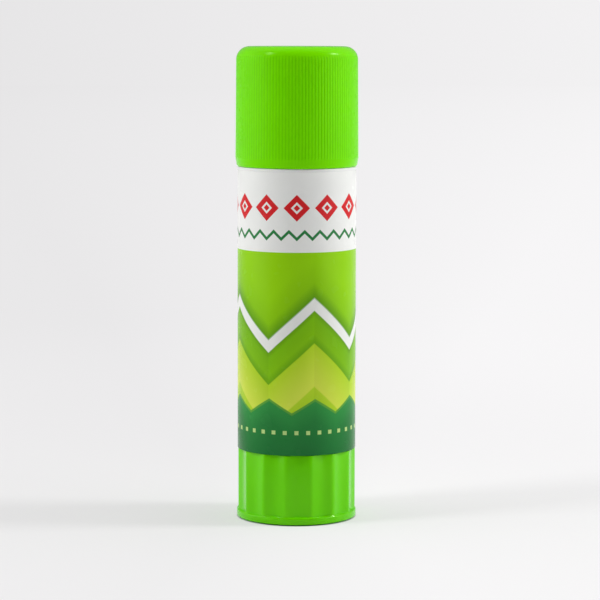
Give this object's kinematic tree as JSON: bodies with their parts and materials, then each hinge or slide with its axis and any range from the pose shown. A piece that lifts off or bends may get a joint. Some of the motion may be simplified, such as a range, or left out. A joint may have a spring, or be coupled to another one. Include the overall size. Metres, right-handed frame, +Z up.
{
  "type": "glue stick",
  "caption": "Upright twist-up glue stick: ribbed pull-off cap, labelled barrel and a fluted base knob whose screw lifts a carrier with a round column of glue.",
  "frame": {"origin": "on the stick's axis, in the plane of the flat foot ring under the knob, where the stick stands", "axes": "+Z up along the stick's axis, from the knob to the cap; -Y faces the front of the label"},
  "size_m": [0.0262, 0.0262, 0.1008],
  "materials": {
    "cap": "satin",
    "barrel": "satin",
    "label": "gloss",
    "glue": "satin",
    "carrier": "satin",
    "spindle": "satin",
    "knob": "gloss"
  },
  "bodies": {
    "barrel": {"barrel": "barrel", "label": "label"},
    "knob": {"knob": "knob", "spindle": "spindle"},
    "carrier": {"carrier": "carrier", "glue": "glue"},
    "cap": {"cap": "cap"}
  },
  "joints": [
    {"name": "knob_turn", "type": "hinge", "parent": "barrel", "child": "knob", "pos_m": [0, 0, 0], "axis": [0, 0, 1], "range_deg": [0, 5400]},
    {"name": "carrier_slide", "type": "slide", "parent": "barrel", "child": "carrier", "axis": [0, 0, 1], "range_m": [0, 0.06]},
    {"name": "cap_lift", "type": "slide", "parent": "carrier", "child": "cap", "axis": [0, 0, 1], "range_m": [0, 0.03]}
  ],
  "couplings": [
    {"joint": "knob_turn", "follows": "carrier_slide", "rad_per_m": 1570.8}
  ]
}
